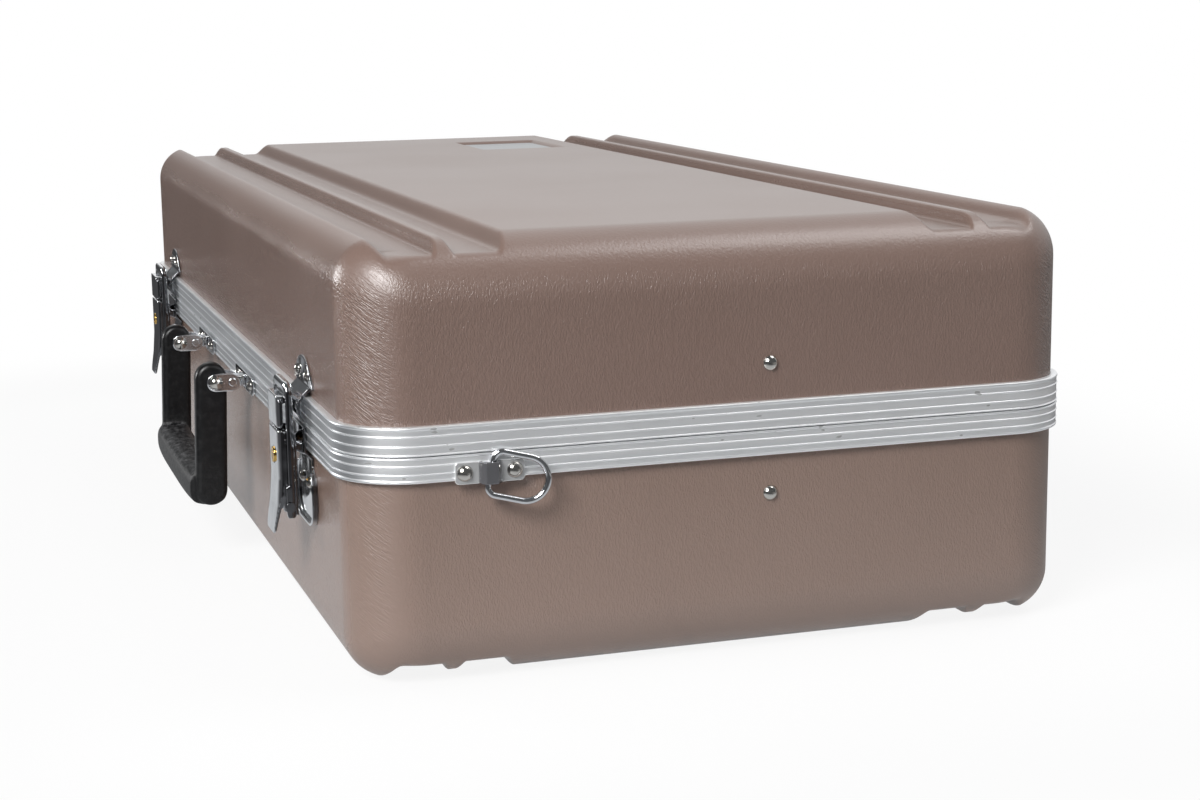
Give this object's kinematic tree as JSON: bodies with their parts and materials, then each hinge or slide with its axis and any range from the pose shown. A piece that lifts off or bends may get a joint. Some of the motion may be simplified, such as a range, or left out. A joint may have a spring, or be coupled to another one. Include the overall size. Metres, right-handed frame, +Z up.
{
  "type": "trumpet case",
  "caption": "Hard moulded trumpet case with aluminium bands, front draw latches and handle, rear hinges, end strap rings, a folding lid stay and a plush nest for the instrument.",
  "frame": {"origin": "centre of the flat resting face under the base", "axes": "+X along the case, +Y from the latches to the hinges, +Z up"},
  "size_m": [0.583, 0.335, 0.168],
  "materials": {
    "grained_shell": "taupe moulded plastic with an embossed leather grain, soft gloss",
    "satin_aluminium": "drawn satin bands with fine lengthwise lines",
    "badge_blank": "pale satin blank plate",
    "plush_insert": "short dark plush",
    "plush_cushion": "short dark plush over foam",
    "black_handle": "black moulded plastic, pebbled on the grip",
    "lock_brass": "polished",
    "rivet_nickel": "polished nickel plate",
    "stay_steel": "plated steel",
    "hinge_steel": "nickel-plated steel",
    "chrome_plate": "bright chrome plate"
  },
  "bodies": {
    "case_base": {"base_insert": "plush_insert", "base_shell": "grained_shell", "base_valance": "satin_aluminium", "handle_bracket_left": "chrome_plate", "handle_bracket_right": "chrome_plate", "handle_bracket_rivets": "rivet_nickel", "hinge_base_leaf_left": "hinge_steel", "hinge_base_leaf_right": "hinge_steel", "hinge_base_rivets": "rivet_nickel", "hinge_pin_left": "hinge_steel", "hinge_pin_right": "hinge_steel", "latch_base_plate_left": "chrome_plate", "latch_base_plate_right": "chrome_plate", "latch_base_rivets": "rivet_nickel", "latch_lever_pin_left": "chrome_plate", "latch_lever_pin_right": "chrome_plate", "stay_lower_rivet": "rivet_nickel", "strap_ring_rivets": "rivet_nickel", "strap_ring_strip_left": "rivet_nickel", "strap_ring_strip_right": "rivet_nickel"},
    "lid": {"lid_shell": "grained_shell", "lid_valance": "satin_aluminium", "badge_plate": "badge_blank", "lid_cushion": "plush_cushion", "hinge_lid_leaf_left": "hinge_steel", "hinge_lid_leaf_right": "hinge_steel", "hinge_lid_rivets": "rivet_nickel", "latch_catch_left": "chrome_plate", "latch_catch_right": "chrome_plate", "latch_catch_rivets": "rivet_nickel", "stay_upper_rivet": "rivet_nickel"},
    "handle": {"handle_grip": "black_handle", "handle_rivets": "rivet_nickel", "handle_pivot_pins": "chrome_plate", "handle_cheek_left_outer": "chrome_plate", "handle_cheek_left_inner": "chrome_plate", "handle_cheek_right_outer": "chrome_plate", "handle_cheek_right_inner": "chrome_plate"},
    "stay_lower": {"stay_lower_arm": "stay_steel", "stay_elbow_head_lower": "stay_steel"},
    "stay_upper": {"stay_upper_arm": "stay_steel", "stay_elbow_head_upper": "stay_steel"},
    "strap_ring_left": {"strap_ring_left": "chrome_plate"},
    "strap_ring_right": {"strap_ring_right": "chrome_plate"},
    "latch_lever_left": {"latch_lever_left": "chrome_plate", "latch_hasp_pins_left": "chrome_plate"},
    "latch_hasp_left": {"latch_hasp_left": "chrome_plate"},
    "lock_left": {"lock_cylinder_left": "lock_brass"},
    "latch_lever_right": {"latch_lever_right": "chrome_plate", "latch_hasp_pins_right": "chrome_plate"},
    "latch_hasp_right": {"latch_hasp_right": "chrome_plate"},
    "lock_right": {"lock_cylinder_right": "lock_brass"}
  },
  "joints": [
    {"name": "lid_hinge", "type": "hinge", "parent": "case_base", "child": "lid", "pos_m": [0, 0.1531, 0.0895], "axis": [-1, 0, 0], "range_deg": [0, 92]},
    {"name": "handle_swing", "type": "hinge", "parent": "case_base", "child": "handle", "pos_m": [0, -0.157, 0.0835], "axis": [-1, 0, 0], "range_deg": [0, 70]},
    {"name": "stay_lower_pivot", "type": "hinge", "parent": "case_base", "child": "stay_lower", "pos_m": [0.27, 0.016, 0.06415], "axis": [-1, 0, 0], "range_deg": [0, 114.16]},
    {"name": "stay_upper_pivot", "type": "hinge", "parent": "lid", "child": "stay_upper", "pos_m": [0.27, 0.016, 0.11485], "axis": [-1, 0, 0], "range_deg": [-114.16, 0]},
    {"name": "latch_lever_left_pivot", "type": "hinge", "parent": "case_base", "child": "latch_lever_left", "pos_m": [-0.197, -0.1575, 0.0835], "axis": [-1, 0, 0], "range_deg": [0, 110]},
    {"name": "latch_hasp_left_pivot", "type": "hinge", "parent": "latch_lever_left", "child": "latch_hasp_left", "pos_m": [-0.197, -0.1575, 0.0575], "axis": [-1, 0, 0], "range_deg": [-145, 0]},
    {"name": "lock_left_turn", "type": "hinge", "parent": "latch_lever_left", "child": "lock_left", "pos_m": [-0.197, -0.161, 0.0765], "axis": [0, -1, 0], "range_deg": [0, 90]},
    {"name": "strap_ring_left_swing", "type": "hinge", "parent": "case_base", "child": "strap_ring_left", "pos_m": [-0.2868, -0.0964, 0.0825], "axis": [0, 0.2419, 0.9703], "range_deg": [0, 160]},
    {"name": "latch_lever_right_pivot", "type": "hinge", "parent": "case_base", "child": "latch_lever_right", "pos_m": [0.197, -0.1575, 0.0835], "axis": [-1, 0, 0], "range_deg": [0, 110]},
    {"name": "latch_hasp_right_pivot", "type": "hinge", "parent": "latch_lever_right", "child": "latch_hasp_right", "pos_m": [0.197, -0.1575, 0.0575], "axis": [-1, 0, 0], "range_deg": [-145, 0]},
    {"name": "lock_right_turn", "type": "hinge", "parent": "latch_lever_right", "child": "lock_right", "pos_m": [0.197, -0.161, 0.0765], "axis": [0, -1, 0], "range_deg": [0, 90]},
    {"name": "strap_ring_right_swing", "type": "hinge", "parent": "case_base", "child": "strap_ring_right", "pos_m": [0.2868, -0.0964, 0.0825], "axis": [0, -0.2419, -0.9703], "range_deg": [0, 160]}
  ],
  "couplings": [
    {"joint": "stay_lower_pivot", "follows": "lid_hinge", "ratio": 1.2354},
    {"joint": "stay_upper_pivot", "follows": "lid_hinge", "ratio": -1.2354},
    {"joint": "latch_hasp_left_pivot", "follows": "latch_lever_left_pivot", "ratio": -1.3},
    {"joint": "latch_hasp_right_pivot", "follows": "latch_lever_right_pivot", "ratio": -1.3}
  ]
}
